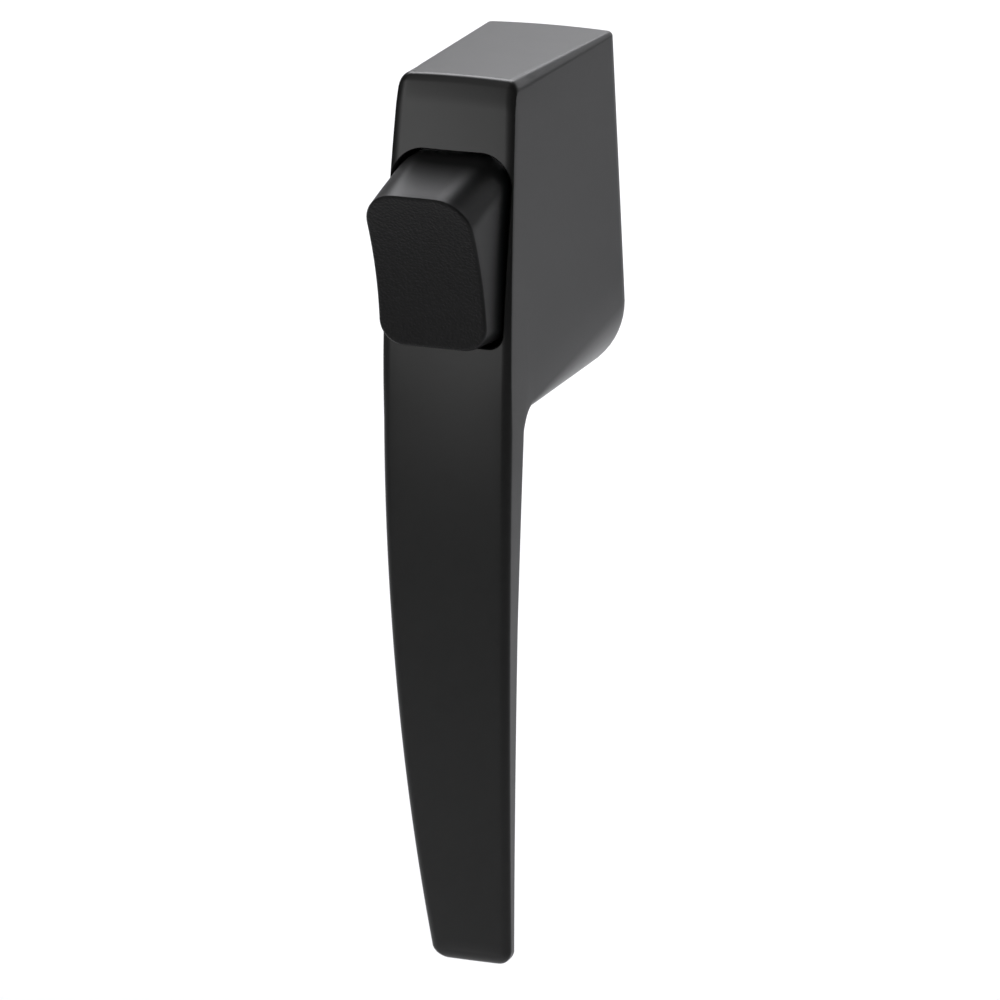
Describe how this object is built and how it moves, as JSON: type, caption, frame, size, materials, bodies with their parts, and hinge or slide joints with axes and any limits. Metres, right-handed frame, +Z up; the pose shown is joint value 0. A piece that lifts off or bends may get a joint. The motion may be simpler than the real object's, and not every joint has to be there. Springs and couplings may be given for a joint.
{
  "type": "push-button pull handle",
  "caption": "Cast black pull handle with a hanging grip blade and a sprung thumb button that drives a push rod through the door.",
  "frame": {"origin": "midway between the two fixing screws, on the door face (the flat rear rim of the body)", "axes": "+Y out of the rear face into the door, +Z up the handle, +X to the left as seen from behind and to the right as seen from the front; the front is -Y"},
  "size_m": [0.0274, 0.0876, 0.154],
  "materials": {
    "satin_black_enamel": "satin black enamel on cast zinc alloy",
    "black_plastic": "moulded black plastic, satin sides and a finely pebbled thumb face",
    "brass_insert": "turned",
    "zinc_plated_steel": "bright zinc plate",
    "spring_steel": "drawn wire",
    "dark_spring_steel": "blackened spring steel",
    "white_nylon": "natural moulded nylon"
  },
  "bodies": {
    "handle": {"handle_body": "satin_black_enamel", "guide_plate": "zinc_plated_steel", "guide_bush": "white_nylon", "plate_screws": "zinc_plated_steel", "spring_seat": "zinc_plated_steel", "return_spring": "spring_steel"},
    "button": {"push_button": "black_plastic", "button_insert": "brass_insert", "plunger_rod": "zinc_plated_steel", "lock_nut": "zinc_plated_steel", "stop_washer": "white_nylon", "stop_clip": "dark_spring_steel"}
  },
  "joints": [
    {"name": "button_press", "type": "slide", "parent": "handle", "child": "button", "axis": [0, 1, 0], "range_m": [0, 0.006], "stiffness_N_per_m": 600, "springref_m": -0.008, "deforming": ["return_spring"]}
  ]
}
